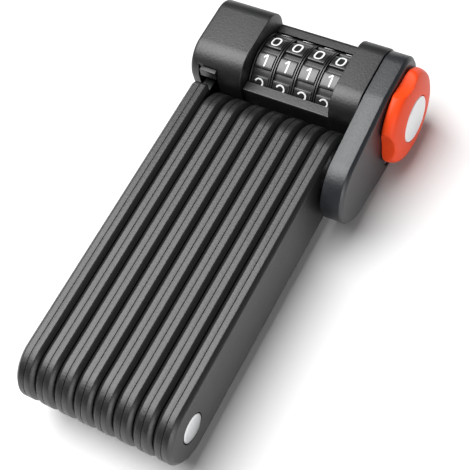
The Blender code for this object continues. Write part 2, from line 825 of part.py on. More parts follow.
def make_knob():
    """The lobed knob and the plain disc let into its face."""
    seat = 9.3 * MM
    bore = 5.3 * MM
    floor = KNOB_REAR + 5.2 * MM
    rings = [
        knob_ring(KNOB_REAR, bore),
        knob_ring(KNOB_REAR, 17.6 * MM),
        knob_ring(KNOB_REAR + 0.6 * MM, KNOB_RADIUS),
        knob_ring(KNOB_REAR + 2.4 * MM, KNOB_RADIUS - 0.2 * MM),
        knob_ring(KNOB_REAR + 4.2 * MM, 17.6 * MM),
        knob_ring(KNOB_REAR + 5.1 * MM, 16.3 * MM),
        knob_ring(KNOB_REAR + 5.8 * MM, 14.2 * MM),
        knob_ring(KNOB_REAR + 6.2 * MM, 12.0 * MM),
        knob_ring(KNOB_REAR + 6.4 * MM, seat),
        knob_ring(floor, seat),
        knob_ring(floor, bore),
    ]
    pivot = (KNOB_REAR, AXIS_Y, 0.0)
    place(ring_loft(rings, True), "knob", pivot, orange_look)
    disc = [
        (floor + 0.3 * MM, 0.0),
        (floor + 0.3 * MM, 9.0 * MM),
        (KNOB_FRONT - 0.5 * MM, 9.0 * MM),
        (KNOB_FRONT - 0.1 * MM, 6.0 * MM),
        (KNOB_FRONT, 0.0),
    ]
    place(turned(disc, AXIS_Y, steps=40), "knob_disc", pivot, white_look)


def main():
    clear_scene()
    pin_hole = make_links()
    shell = make_left_shell()
    cradle = make_cradle()
    collar = make_collar()
    cap = make_end_cap(pin_hole)
    make_tongue_guide()
    make_detent_spring()
    make_ear_washer()
    make_wheels()
    make_bolt()
    make_drive()
    make_knob()
    body = [shell, cradle, collar, cap]
    make_tie_screws(body)
    bore = place(
        rod(-25.0 * MM, 25.0 * MM, BOLT_HOLE_RADIUS, AXIS_Y), "bolt_bore", (0.0, AXIS_Y, 0.0), None
    )
    for piece in (shell, collar):
        cut(piece, bore)


main()
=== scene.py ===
"""Looks of the folding plate lock: moulded jackets, rivets, lock body, code wheels and knob.

Shapes are drawn in millimetres in the lock's own frame: X runs across the stack of links, Y along
the links towards the lock body, Z up, with zero in the middle of the stack, on the lower pivots.
"""

import math

import bmesh
import bpy
import numpy as np
from bpy.props import FloatProperty, FloatVectorProperty, IntProperty, PointerProperty
from mathutils import Matrix, Vector


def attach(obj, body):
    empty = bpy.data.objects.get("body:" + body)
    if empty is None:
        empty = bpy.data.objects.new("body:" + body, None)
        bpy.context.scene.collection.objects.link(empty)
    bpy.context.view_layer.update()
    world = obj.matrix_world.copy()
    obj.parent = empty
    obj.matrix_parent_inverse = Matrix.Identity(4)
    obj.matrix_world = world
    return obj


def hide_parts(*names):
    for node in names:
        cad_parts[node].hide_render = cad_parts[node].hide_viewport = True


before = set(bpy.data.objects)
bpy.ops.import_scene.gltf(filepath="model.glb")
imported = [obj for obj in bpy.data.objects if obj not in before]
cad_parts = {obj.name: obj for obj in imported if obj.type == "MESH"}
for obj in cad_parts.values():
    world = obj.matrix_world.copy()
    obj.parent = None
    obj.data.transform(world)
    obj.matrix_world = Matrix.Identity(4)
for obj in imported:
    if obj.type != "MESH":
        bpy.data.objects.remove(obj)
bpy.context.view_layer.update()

bl_info = {
    "name": "Folding plate lock",
    "version": (1, 0, 0),
    "blender": (4, 5, 0),
    "location": "View3D > Sidebar > Plate lock",
    "description": "Builds the visible pieces and finishes of a folding plate lock",
    "category": "Object",
}

MM = 0.001
SHIFT = np.array([-6.95, -72.35, 20.0])  # from the lock's own frame to the row frame, mm

# stack of links, mm
LINKS = 8
LINK_PITCH = 8.0
LINK_HALF = 3.8
LINK_RADIUS = 13.9
PIVOT_SPACING = 109.0
POCKET_RADIUS = 12.3
POCKET_HALF = 2.5
HALF_SEAM = 0.1
JACKET_END = 119.3
HEAD_RADIUS = 5.4
HEAD_HOLE = 5.9
SHANK_RADIUS = 4.0
SHANK_HOLE = 4.3

# lock body, mm
AXIS_Y = 141.0
BODY_LEFT = -36.1
BODY_BACK = 158.6
BODY_HALF_HEIGHT = 20.0
SHELL_FRONT = 123.2
SHELL_RIGHT = -13.9
CRADLE_FRONT = 124.2
CRADLE_LEFT = -13.6
CRADLE_RIGHT = 22.6
SHELF_HEIGHT = 9.5
SPINE_HEIGHT = 9.5
TROUGH_RADIUS = 15.9
COLLAR_FRONT = 123.4
COLLAR_LEFT = 22.9
COLLAR_RIGHT = 33.9
CAP_LEFT = 34.2
CAP_RIGHT = 42.9
CAP_TOP = 19.3
CAP_SHOULDER = 133.0
EAR_RADIUS = 15.4
EAR_CORNER = 13.5
EAR_END = 92.0
BOLT_HOLE = 4.4
SLOT_LEFT = -32.2
SLOT_RIGHT = -23.8
SLOT_BACK = 149.2
SLOT_TOP = 13.2
NOTCH_BACK = 125.4
SCREW_ROWS = (129.0, 152.0)
SCREW_DROP = -13.3

# code wheels, mm
WHEELS = 4
WHEEL_PITCH = 9.1
WHEEL_MIDDLE = 4.5
WHEEL_BORE = 7.8
WHEEL_HALF = 4.35
PADS = 10
PAD_HALF = 3.3
PAD_CROWN = 0.0002
PAD_ONE = 108.0  # the angle of the pad with the digit 1, degrees above the line to the back

# knob, mm
KNOB_REAR = 43.2
KNOB_FRONT = 50.0
KNOB_LOBE_ANGLE = math.radians(129)
KNOB_SOFTNESS = 0.16
DISC_SEAT = 9.3
SHAFT_RADIUS = 5.3

# camera: place in the lock's own frame, mm, and the directions of its right, up and back
CAMERA_PLACE = (166.5, -84.07, 362.37)
CAMERA_RIGHT = (0.86689, 0.46671, -0.17516)
CAMERA_UP = (-0.33470, 0.80533, 0.48930)
CAMERA_BACK = (0.36943, -0.36554, 0.85434)


# ---------------------------------------------------------------- shapes


def in_row(points):
    """Points in millimetres of the lock's own frame as metres of the row frame."""
    return (np.asarray(points, float) + SHIFT) * MM


def grid_faces(rows, columns, round_rows=False, round_columns=False, start=0):
    """Quads of a rows by columns grid of points; either way can close on itself."""
    r = np.arange(rows if round_rows else rows - 1)
    c = np.arange(columns if round_columns else columns - 1)
    r, c = np.meshgrid(r, c, indexing="ij")
    r1, c1 = (r + 1) % rows, (c + 1) % columns
    quads = np.stack([r * columns + c, r * columns + c1, r1 * columns + c1, r1 * columns + c], -1)
    return (quads.reshape(-1, 4) + start).tolist()


class Skin:
    """Grids and flat caps gathered into one closed mesh."""

    def __init__(self):
        self.points = []
        self.faces = []
        self.count = 0

    def add(self, points, faces):
        self.points.append(np.asarray(points, float).reshape(-1, 3))
        self.faces += faces
        self.count += len(self.points[-1])

    def grid(self, points, round_rows=False, round_columns=False):
        """A grid of points with shape (rows, columns, 3)."""
        rows, columns = points.shape[:2]
        self.add(points, grid_faces(rows, columns, round_rows, round_columns, self.count))

    def cap(self, ring):
        """One flat face through a ring of points."""
        self.add(ring, [list(range(self.count, self.count + len(ring)))])

    def loft(self, rings, closed=False):
        """Rings of shape (rings, points, 3), capped at both ends or closed on itself."""
        self.grid(rings, round_rows=closed, round_columns=True)
        if not closed:
            self.cap(rings[0])
            self.cap(rings[-1])

    def mesh(self, merged=True):
        """The mesh with its faces pointing outwards, in row metres.

        Points closer than a fifth of a micrometre are merged, unless pieces may touch.
        """
        raw = bpy.data.meshes.new("draft")
        raw.from_pydata(in_row(np.concatenate(self.points)), [], self.faces)
        work = bmesh.new()
        work.from_mesh(raw)
        if merged:
            bmesh.ops.remove_doubles(work, verts=work.verts, dist=2e-7)
            bmesh.ops.dissolve_degenerate(work, edges=work.edges, dist=1e-7)
        bmesh.ops.recalc_face_normals(work, faces=work.faces)
        if merged and work.calc_volume(signed=True) < 0:
            bmesh.ops.reverse_faces(work, faces=work.faces)
        work.to_mesh(raw)
        work.free()
        return raw


def mark_wear(mesh):
    """Stores on each point how far its faces turn away from each other: 0 on flats, 1 on edges."""
    polygons, corners = len(mesh.polygons), len(mesh.loops)
    normals = np.zeros(polygons * 3)
    mesh.polygons.foreach_get("normal", normals)
    sizes = np.zeros(polygons, int)
    mesh.polygons.foreach_get("loop_total", sizes)
    users = np.zeros(corners, int)
    mesh.loops.foreach_get("vertex_index", users)
    spread = np.repeat(normals.reshape(-1, 3), sizes, axis=0)
    total = np.zeros((len(mesh.vertices), 3))
    np.add.at(total, users, spread)
    count = np.bincount(users, minlength=len(mesh.vertices))
    flatness = np.linalg.norm(total, axis=1) / np.maximum(count, 1)
    wear = np.clip((1.0 - flatness) * 9.0, 0.0, 1.0)
    mesh.attributes.new("wear", "FLOAT", "POINT").data.foreach_set("value", wear)


def shown(name, mesh, finish, body, replaced=(), crease=38.0):
    """Places a finished mesh as a piece that rides on a body and stands for CAD nodes."""
    if len(mesh.polygons) == 0:
        raise RuntimeError(name + " has no faces")
    mark_wear(mesh)
    mesh.shade_smooth()
    mesh.set_sharp_from_angle(angle=math.radians(crease))
    mesh.materials.clear()
    mesh.materials.append(finish)
    piece = bpy.data.objects.new(name, mesh)
    bpy.context.scene.collection.objects.link(piece)
    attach(piece, body)
    if replaced:
        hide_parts(*replaced)
    return piece


def carve(mesh, cutters, operation="DIFFERENCE"):
    """The mesh less each cutter mesh, or joined to it, by exact Booleans applied at once."""
    holder = bpy.data.objects.new("draft", mesh)
    bpy.context.scene.collection.objects.link(holder)
    tools = []
    for cutter in cutters:
        tool = bpy.data.objects.new("draft_cutter", cutter)
        bpy.context.scene.collection.objects.link(tool)
        step = holder.modifiers.new("cut", "BOOLEAN")
        step.operation = operation
        step.solver = "EXACT"
        step.object = tool
        tools.append(tool)
    bpy.context.view_layer.update()
    graph = bpy.context.evaluated_depsgraph_get()
    made = bpy.data.meshes.new_from_object(holder.evaluated_get(graph))
    for item in [holder, *tools]:
        bpy.data.objects.remove(item, do_unlink=True)
    return made


def rounded_outline(corners, inset=0.0, step=5.0):
    """A closed outline through corners (y, z, radius), each corner rounded by an arc.

    The arc's centre lies on the corner's bisector, radius over the sine of half its angle away;
    an inset shrinks the arc's radius about the same centre.
    """
    points = []
    total = len(corners)
    for i, (y, z, radius) in enumerate(corners):
        corner = np.array([y, z])
        back = np.array(corners[i - 1][:2]) - corner
        ahead = np.array(corners[(i + 1) % total][:2]) - corner
        back, ahead = back / np.linalg.norm(back), ahead / np.linalg.norm(ahead)
        half = math.acos(np.clip(back @ ahead, -1, 1)) / 2
        if radius <= 0 or half > math.radians(89):
            points.append(corner[None])
            continue
        middle = back + ahead
        centre = corner + middle / np.linalg.norm(middle) * radius / math.sin(half)
        run = radius / math.tan(half)
        start, end = corner + back * run - centre, corner + ahead * run - centre
        first = math.atan2(start[1], start[0])
        turn = (math.atan2(end[1], end[0]) - first + math.pi) % math.tau - math.pi
        steps = max(2, round(math.degrees(math.pi - 2 * half) / step))
        angles = first + turn * np.linspace(0, 1, steps + 1)
        arc = centre + (radius - inset) * np.stack([np.cos(angles), np.sin(angles)], -1)
        points.append(arc)
    outline = np.concatenate(points)
    gap = np.linalg.norm(outline - np.roll(outline, 1, axis=0), axis=1)
    return outline[gap > 1e-4]


def at_x(outline, x):
    """An outline of (y, z) points as 3D points at one X."""
    return np.column_stack([np.full(len(outline), x), outline])


def fillet_stations(x0, x1, rim0, rim1, steps=4):
    """(x, inset) stations of a plate whose two rims are rounded by quarter circles."""
    t = np.linspace(0, math.pi / 2, steps + 1)
    way = math.copysign(1.0, x1 - x0)
    near = [(x0 + way * rim0 * (1 - math.cos(a)), rim0 * (1 - math.sin(a))) for a in t]
    far = [(x1 - way * rim1 * (1 - math.cos(a)), rim1 * (1 - math.sin(a))) for a in t[::-1]]
    return near + far


def edged_plate(corners, stations, step=5.0):
    """A plate as a loft of its outline: one ring per (x, inset) station, flat at both ends."""
    rings = np.stack([at_x(rounded_outline(corners, inset, step), x) for x, inset in stations])
    skin = Skin()
    skin.loft(rings)
    return skin.mesh()


def prism(outline, x0, x1):
    """A plain prism of a (y, z) outline between two X."""
    skin = Skin()
    skin.loft(np.stack([at_x(outline, x0), at_x(outline, x1)]))
    return skin.mesh()


def box_mesh(low, high):
    """A plain box between two corners."""
    (x0, y0, z0), (x1, y1, z1) = low, high
    return prism(np.array([(y0, z0), (y0, z1), (y1, z1), (y1, z0)]), x0, x1)


def turned(profile, y, z=0.0, steps=64):
    """A solid of revolution about an X line through (y, z).

    The profile's (x, radius) points are carried round a circle; a point of no radius becomes a
    pole, and a profile that ends where it starts closes on itself.
    """
    profile = np.asarray(profile, float)
    angles = math.tau * (np.arange(steps) + 0.31) / steps
    x, radius = profile[:, :1], profile[:, 1:]
    ring_y = y + radius * np.cos(angles)
    ring_z = z + radius * np.sin(angles)
    skin = Skin()
    skin.grid(np.stack([x + 0 * ring_y, ring_y, ring_z], -1), round_columns=True)
    return skin.mesh()


def filleted(points, radius, steps=3):
    """An open (x, radius) profile with its inner corners rounded by short arcs."""
    points = [np.array(p, float) for p in points]
    made = [points[0]]
    for before, here, after in zip(points, points[1:], points[2:]):
        back, ahead = before - here, after - here
        reach = min(radius, np.linalg.norm(back) * 0.45, np.linalg.norm(ahead) * 0.45)
        start = here + back / np.linalg.norm(back) * reach
        end = here + ahead / np.linalg.norm(ahead) * reach
        t = np.linspace(0, 1, steps + 1)[:, None]
        made += list((1 - t) ** 2 * start + 2 * t * (1 - t) * here + t**2 * end)
    return made + [points[-1]]


def link_middle(link):
    """The X of a link's middle; link 1 is at the left."""
    return LINK_PITCH * (link - (LINKS + 1) / 2)


def pivot_y(link):
    """Where a link turns on the next one to its right: bottom and top by turns."""
    return 0.0 if link % 2 else PIVOT_SPACING


# ---------------------------------------------------------------- links


def jacket_profile(bevel, fillet):
    """(inset, x) stations round a jacket half's rim, from its outer face to its pocket floor.

    A chamfer of the bevel's size whose two edges are rounded, then the flat side, a small
    rounding at the parting line, the parting face and the pocket's wall.
    """
    return np.array(
        [
            (bevel + 0.6, LINK_HALF),
            (bevel + fillet, LINK_HALF),
            (bevel + fillet * 0.4, LINK_HALF - fillet * 0.09),
            (bevel - fillet * 0.35, LINK_HALF - fillet * 0.42),
            (fillet * 0.42, LINK_HALF - bevel + fillet * 0.35),
            (fillet * 0.09, LINK_HALF - bevel - fillet * 0.4),
            (0.0, LINK_HALF - bevel - fillet),
            (0.0, HALF_SEAM + 0.12),
            (0.03, HALF_SEAM + 0.03),
            (0.12, HALF_SEAM),
            (0.3, HALF_SEAM),
            (LINK_RADIUS - POCKET_RADIUS, HALF_SEAM),
            (LINK_RADIUS - POCKET_RADIUS, POCKET_HALF),
        ]
    )


def ring_columns():
    """Feet and directions of the round half of a jacket's outline, about a pivot at zero.

    Half a circle, then the straight sides up to the middle of the link.
    """
    half = PIVOT_SPACING / 2
    along = np.array([1.0, 0.72, 0.45, 0.2]) * half
    arc = np.radians(np.arange(90.0, 270.1, 4.5))
    feet_y = np.concatenate([along, np.zeros(len(arc)), along[::-1]])
    upper = np.full(len(along), math.pi / 2)
    dirs = np.concatenate([upper, arc, upper + math.pi])
    feet = np.column_stack([feet_y, np.zeros(len(feet_y))])
    return feet, np.column_stack([np.cos(dirs), np.sin(dirs)])


def half_jacket(skin, middle, side, turn, hole, profile):
    """One pivot's half of a jacket half: faces between its hole and its rim, and the rim itself.

    Each point is foot + (radius - inset) * direction; hole points lie on the ray from the pivot
    to the rim. The turn is 0 for the lower pivot and 1 for the upper one, turned half round.
    """
    feet, dirs = ring_columns()
    half = PIVOT_SPACING / 2
    rim = feet[None] + (LINK_RADIUS - profile[:, 0])[:, None, None] * dirs[None]
    rim_x = np.repeat(profile[:, 1:], len(feet), axis=1)
    rays = feet + LINK_RADIUS * dirs
    rays /= np.linalg.norm(rays, axis=1)[:, None]
    levels = np.array(
        [
            (hole, POCKET_HALF),
            (hole, LINK_HALF - 0.2),
            (hole + 0.06, LINK_HALF - 0.06),
            (hole + 0.2, LINK_HALF),
            (hole + 0.8, LINK_HALF),
        ]
    )
    around = levels[:, 0][:, None, None] * rays[None]
    around_x = np.repeat(levels[:, 1:], len(feet), axis=1)
    flat = np.concatenate([around, rim, around[:1]])
    depth = np.concatenate([around_x, rim_x, around_x[:1]])
    face = LINK_RADIUS - profile[0, 0]
    across = np.linspace(1, -1, 9)
    middle_rays = np.column_stack([np.full(9, half), across * LINK_RADIUS])
    middle_rays /= np.linalg.norm(middle_rays, axis=1)[:, None]
    inner = levels[:, 0][:, None, None] * middle_rays[None]
    inner_x = np.repeat(levels[:, 1:], 9, axis=1)
    edge = np.column_stack([np.full(9, half), across * face])[None]
    floor = np.column_stack([np.full(9, half), across * POCKET_RADIUS])[None]
    plate = np.concatenate([floor, inner, edge])
    plate_x = np.concatenate([np.full((1, 9), POCKET_HALF), inner_x, np.full((1, 9), LINK_HALF)])
    sign = -1.0 if turn else 1.0
    shift = PIVOT_SPACING if turn else 0.0
    for points, x in ((flat, depth), (plate, plate_x)):
        y = points[..., 0] * sign + shift
        z = points[..., 1] * sign
        skin.grid(np.stack([middle + side * x, y, z], -1))


def square_jacket(skin, middle, side, profile):
    """The upper part of link 1's jacket half, without a pivot and cut square at its end."""
    half = PIVOT_SPACING / 2
    radius = 1.5

    def path(inset):
        end = JACKET_END - inset
        wide = LINK_RADIUS - inset
        bend = max(radius - inset, 0.05)
        t = np.radians(np.linspace(0, 90, 7))
        corner_y = end - bend + bend * np.sin(t)
        corner_z = wide - bend + bend * np.cos(t)
        y = np.concatenate([[half], corner_y, corner_y[::-1], [half]])
        z = np.concatenate([[wide], corner_z, -corner_z[::-1], [-wide]])
        return np.column_stack([y, z])

    rings = np.stack([path(inset) for inset in profile[:, 0]])
    x = middle + side * np.repeat(profile[:, 1:], rings.shape[1], axis=1)
    skin.grid(np.stack([x, rings[..., 0], rings[..., 1]], -1))
    across = np.linspace(-1, 1, 9)[1:-1]
    for ring, level, wide in (
        (rings[0], LINK_HALF, LINK_RADIUS - profile[0, 0]),
        (rings[-1], POCKET_HALF, POCKET_RADIUS),
    ):
        closing = np.column_stack([np.full(7, half), across * wide])
        skin.cap(at_x(np.concatenate([ring, closing]), middle + side * level))


def jacket_mesh(link, side, bevel, fillet):
    """One half of a link's jacket as a closed shell with its pocket and rivet holes."""
    middle = link_middle(link)
    profile = jacket_profile(bevel, fillet)
    skin = Skin()
    # a rivet's heads sit in the left face of one link and the right face of the next
    own = HEAD_HOLE if side < 0 else SHANK_HOLE
    before = HEAD_HOLE if side > 0 else SHANK_HOLE
    holes = {pivot_y(link): own, pivot_y(link - 1): before}
    half_jacket(skin, middle, side, 0, holes[0.0], profile)
    if link == 1:
        square_jacket(skin, middle, side, profile)
    else:
        half_jacket(skin, middle, side, 1, holes[PIVOT_SPACING], profile)
    return skin.mesh()


def rivet_mesh(link):
    """A rivet between a link and the next: a shank between two heads with domed outer faces."""
    left = link_middle(link) - LINK_HALF
    right = link_middle(link + 1) + LINK_HALF
    depth = LINK_HALF - POCKET_HALF
    show = link + 1 == LINKS
    low = -0.1 if show else 0.35
    dome = 0.55 if show else -0.2
    t = np.linspace(0, 1, 7)
    near = [(left + 0.35 - 0.15 * (1 - s * s), HEAD_RADIUS * 0.9 * s) for s in t]
    far = [(right - low + (dome + low) * (1 - s * s), HEAD_RADIUS * 0.93 * s) for s in t[::-1]]
    shank = [
        (left + 0.55, HEAD_RADIUS),
        (left + depth, HEAD_RADIUS),
        (left + depth, SHANK_RADIUS),
        (right - depth, SHANK_RADIUS),
        (right - depth, HEAD_RADIUS),
        (right - low - 0.2, HEAD_RADIUS),
    ]
    return turned(near + shank + far, pivot_y(link))


def tongue_mesh():
    """Link 1's hardened bar, round at both ends, with the hole for the bolt."""
    middle = link_middle(1)
    corners = [(-11.0, 8.5, 8.5), (-11.0, -8.5, 8.5), (148.5, -8.5, 8.5), (148.5, 8.5, 8.5)]
    bar = edged_plate(corners, fillet_stations(middle - 2.2, middle + 2.2, 0.35, 0.35, 3))
    bolt_hole = turned([(-40, 0), (-40, BOLT_HOLE), (-20, BOLT_HOLE), (-20, 0)], AXIS_Y, steps=48)
    return carve(bar, [bolt_hole])


# ---------------------------------------------------------------- lock body


def body_corners(front, top, front_radius, back_radius):
    """The lock body's rounded section."""
    return [
        (front, top, front_radius),
        (BODY_BACK, top, back_radius),
        (BODY_BACK, -top, back_radius),
        (front, -top, front_radius),
    ]


def bolt_bore(x0, x1, radius):
    """A round cutter along the bolt's axis."""
    return turned([(x0, 0), (x0, radius), (x1, radius), (x1, 0)], AXIS_Y, steps=48)


def shell_mesh(fillet):
    """The left end of the body: a rounded block, cut for the tongue's slot and the bolt."""
    corners = body_corners(SHELL_FRONT, BODY_HALF_HEIGHT, 11.0, 9.0)
    stations = fillet_stations(BODY_LEFT, SHELL_RIGHT, fillet, 0.35)
    block = edged_plate(corners, stations, 3.0)
    front, low, high = 90.0, -30.0, 30.0  # clear of the block
    slot_corners = [(front, low, 0), (SLOT_BACK, low, 0), (SLOT_BACK, SLOT_TOP, 0.6)]
    slot = rounded_outline([*slot_corners, (front, SLOT_TOP, 0)], step=15.0)
    notch = np.array([(front, 10.0), (NOTCH_BACK, 10.0), (NOTCH_BACK, high), (front, high)])
    cutters = [
        prism(slot, SLOT_LEFT, SLOT_RIGHT),
        prism(notch, SLOT_LEFT, SLOT_RIGHT),
        bolt_bore(-24.5, -10.0, BOLT_HOLE),
    ]
    return carve(block, cutters)


def cradle_mesh():
    """The trough under the wheels with the shelf before them and the spine behind."""
    front = math.pi - math.asin(SHELF_HEIGHT / TROUGH_RADIUS)
    back = math.asin(SPINE_HEIGHT / TROUGH_RADIUS) + math.tau
    a = np.linspace(front, back, 61)
    trough = np.column_stack([AXIS_Y + TROUGH_RADIUS * np.cos(a), TROUGH_RADIUS * np.sin(a)])
    rounded = rounded_outline(
        [
            (trough[-1, 0], SPINE_HEIGHT, 0.0),
            (BODY_BACK, SPINE_HEIGHT, 2.0),
            (BODY_BACK, -BODY_HALF_HEIGHT, 9.0),
            (CRADLE_FRONT, -BODY_HALF_HEIGHT, 8.0),
            (CRADLE_FRONT, SHELF_HEIGHT, 0.5),
            (trough[0, 0], SHELF_HEIGHT, 0.0),
        ]
    )
    outline = np.concatenate([trough[1:-1], rounded])
    solid = prism(outline, CRADLE_LEFT, CRADLE_RIGHT)
    return carve(solid, [box_mesh((-13.0, 134.7, -17.6), (22.0, 149.3, -12.0))])


def collar_mesh():
    """The block between the wheels and the end cap, hollow for the knob's drive."""
    corners = body_corners(COLLAR_FRONT, CAP_TOP + 0.3, 10.0, 9.0)
    block = edged_plate(corners, fillet_stations(COLLAR_LEFT, COLLAR_RIGHT, 0.35, 0.3), 3.0)
    cutters = [
        bolt_bore(23.8, COLLAR_RIGHT + 1, 8.1),
        box_mesh((23.8, AXIS_Y - 1.5, -9.6), (36, AXIS_Y + 1.5, 9.6)),
        bolt_bore(20.0, 25.0, BOLT_HOLE),
    ]
    return carve(block, cutters)


def cap_mesh(bevel, fillet):
    """The end cap drawn out to the ear: a flat rim, a chamfer with rounded edges, a flat face."""
    corners = [
        (EAR_END, EAR_CORNER, EAR_RADIUS),
        (CAP_SHOULDER, CAP_TOP, 20.0),
        (BODY_BACK, CAP_TOP, 10.0),
        (BODY_BACK, -CAP_TOP, 10.0),
        (CAP_SHOULDER, -CAP_TOP, 20.0),
        (EAR_END, -EAR_CORNER, EAR_RADIUS),
    ]
    stations = [
        (CAP_LEFT, 0.3),
        (CAP_LEFT + 0.09, 0.09),
        (CAP_LEFT + 0.3, 0.0),
        (CAP_RIGHT - bevel - fillet, 0.0),
        (CAP_RIGHT - bevel - fillet * 0.35, fillet * 0.09),
        (CAP_RIGHT - bevel + fillet * 0.35, fillet * 0.42),
        (CAP_RIGHT - fillet * 0.42, bevel - fillet * 0.35),
        (CAP_RIGHT - fillet * 0.09, bevel + fillet * 0.35),
        (CAP_RIGHT, bevel + fillet),
        (CAP_RIGHT, bevel + fillet + 0.5),
    ]
    block = edged_plate(corners, stations, 3.0)
    pin_hole = [(30.0, 0), (30.0, SHANK_HOLE), (39.5, SHANK_HOLE), (39.5, 0)]
    cutters = [bolt_bore(30.0, 50.0, SHAFT_RADIUS), turned(pin_hole, PIVOT_SPACING, steps=40)]
    for y in SCREW_ROWS:
        screw = [(30, 0), (30, 1.8), (39.7, 1.8), (39.7, 3.0), (50, 3.0), (50, 0)]
        cutters.append(turned(screw, y, SCREW_DROP, 32))
    return carve(block, cutters)


def guide_mesh():
    """The plate that roofs the tongue's slot, with the lip that fills the notch over link 1."""
    low, high = -31.0, -24.1
    top, floor = 12.9, 11.4
    # the lip is a hair narrower and starts a hair higher, so that no two faces coincide
    plate = [(SHELL_FRONT, floor), (SHELL_FRONT, top), (148.8, top), (148.8, floor)]
    lip = [(SHELL_FRONT, floor + 0.2), (SHELL_FRONT, 15.1), (125.1, 15.1), (125.1, floor + 0.2)]
    pieces = []
    for corners in (plate, lip):
        rounded = [(y, z, 0.3) for y, z in corners]
        pieces.append(edged_plate(rounded, fillet_stations(low, high, 0.2, 0.2, 3), 15.0))
        low, high = low + 0.05, high - 0.05
    return carve(pieces[0], pieces[1:], "UNION")


def washer_mesh():
    """The spacer on the ear's pin."""
    ring = [(32.1, SHANK_HOLE), (32.1, 9.0), (33.9, 9.0), (33.9, SHANK_HOLE), (32.1, SHANK_HOLE)]
    return turned(filleted(ring, 0.25), PIVOT_SPACING)


def ear_pin_mesh():
    """The pin in the ear on which link 8 turns."""
    left = link_middle(LINKS) - LINK_HALF
    depth = LINK_HALF - POCKET_HALF
    profile = [
        (left + 0.2, 0.0),
        (left + 0.35, HEAD_RADIUS),
        (left + depth, HEAD_RADIUS),
        (left + depth, SHANK_RADIUS),
        (39.2, SHANK_RADIUS),
        (39.2, 0.0),
    ]
    return turned(filleted(profile, 0.2), PIVOT_SPACING)


# ---------------------------------------------------------------- code wheels


def wheel_x(number):
    return WHEEL_MIDDLE + WHEEL_PITCH * (number - (WHEELS + 1) / 2)


def wheel_mesh(number, flat, drum, rim):
    """A code wheel as a surface over angle and X.

    Its radius is the drum's, raised at either side to the rim's, and on each of the ten pads to a
    flat: the flat's distance over the cosine of the angle from the pad's middle. The crown takes
    a little off that with the square of the angle.
    """
    tan = math.degrees(math.atan(PAD_HALF / flat))
    marks = np.array([-18, -15.6, -tan - 0.9, -tan - 0.35, -tan, -tan + 0.9, -8, -4, 0.0])
    local = np.concatenate([marks, -marks[-2:0:-1]])
    lift = np.array([0, 0, 0, 0.72, 0.94, 1, 1, 1, 1.0])
    lift = np.concatenate([lift, lift[-2:0:-1]])
    pads = np.arange(PADS) * (360.0 / PADS) + PAD_ONE
    angle = np.radians((pads[:, None] + local[None]).ravel())
    raised = np.tile(lift, PADS)
    crown = 1 - PAD_CROWN * local**2
    pad_radius = np.tile(flat * crown / np.cos(np.radians(local)), PADS)
    half = WHEEL_HALF
    stations = [
        (-half, WHEEL_BORE, 0.0),
        (-half, rim - 0.12, 0.0),
        (-half + 0.12, rim, 0.0),
        (-half + 0.42, rim, 0.0),
        (-half + 0.52, rim - 0.1, 0.0),
        (-half + 0.56, drum, 0.0),
        (-half + 0.74, drum, 0.0),
        (-half + 0.8, drum, 0.72),
        (-half + 0.9, drum, 0.94),
        (-half + 1.05, drum, 1.0),
    ]
    stations += [(-x, radius, share) for x, radius, share in stations[::-1]]
    x, base, share = (np.array(column)[:, None] for column in zip(*stations))
    radius = base + (pad_radius[None] - base) * share * raised[None]
    middle = wheel_x(number)
    y = AXIS_Y + radius * np.cos(angle)
    z = radius * np.sin(angle)
    skin = Skin()
    skin.grid(np.stack([middle + x + 0 * y, y, z], -1), round_rows=True, round_columns=True)
    return skin.mesh()


def arc(cx, cy, rx, ry, start, end, steps=20):
    """Points of an ellipse's arc between two angles in degrees."""
    a = np.radians(np.linspace(start, end, steps))
    return np.column_stack([cx + rx * np.cos(a), cy + ry * np.sin(a)])


def squircle(rx, ry, steps=36, power=0.72):
    """A closed superellipse: each of cosine and sine raised to a power that keeps its sign."""
    a = math.tau * (np.arange(steps + 1) % steps) / steps
    c, s = np.cos(a), np.sin(a)
    return np.column_stack(
        [rx * np.sign(c) * np.abs(c) ** power, ry * np.sign(s) * np.abs(s) ** power]
    )


def digit_strokes(digit):
    """The centre lines of a plain digit in a box one unit high."""
    line = np.array
    head = [(0.3, 0.45), (-0.24, 0.45), (-0.28, 0.05)]
    strokes = {
        0: [squircle(0.29, 0.44)],
        1: [line([(0.06, 0.46), (0.06, -0.46)]), line([(-0.2, 0.2), (0.03, 0.45)])],
        2: [np.concatenate([arc(0, 0.16, 0.31, 0.29, 165, -38), [(-0.33, -0.45), (0.35, -0.45)]])],
        3: [arc(-0.02, 0.21, 0.29, 0.24, 150, -90), arc(-0.02, -0.23, 0.33, 0.22, 90, -150)],
        4: [line([(0.14, -0.46), (0.14, 0.45), (-0.35, -0.18), (0.36, -0.18)])],
        5: [np.concatenate([head, arc(-0.01, -0.16, 0.32, 0.29, 125, -150)])],
        6: [arc(0, -0.17, 0.31, 0.28, 90, 450, 31), arc(0.31, -0.14, 0.62, 0.6, 95, 180)],
        7: [line([(-0.33, 0.45), (0.34, 0.45), (-0.08, -0.46)])],
        8: [arc(0, 0.22, 0.26, 0.23, 90, 450, 27), arc(0, -0.22, 0.32, 0.24, 90, 450, 31)],
        9: [arc(0, 0.17, 0.31, 0.28, 90, 450, 31), arc(-0.31, 0.14, 0.62, 0.6, -85, 0)],
    }
    return strokes[digit]


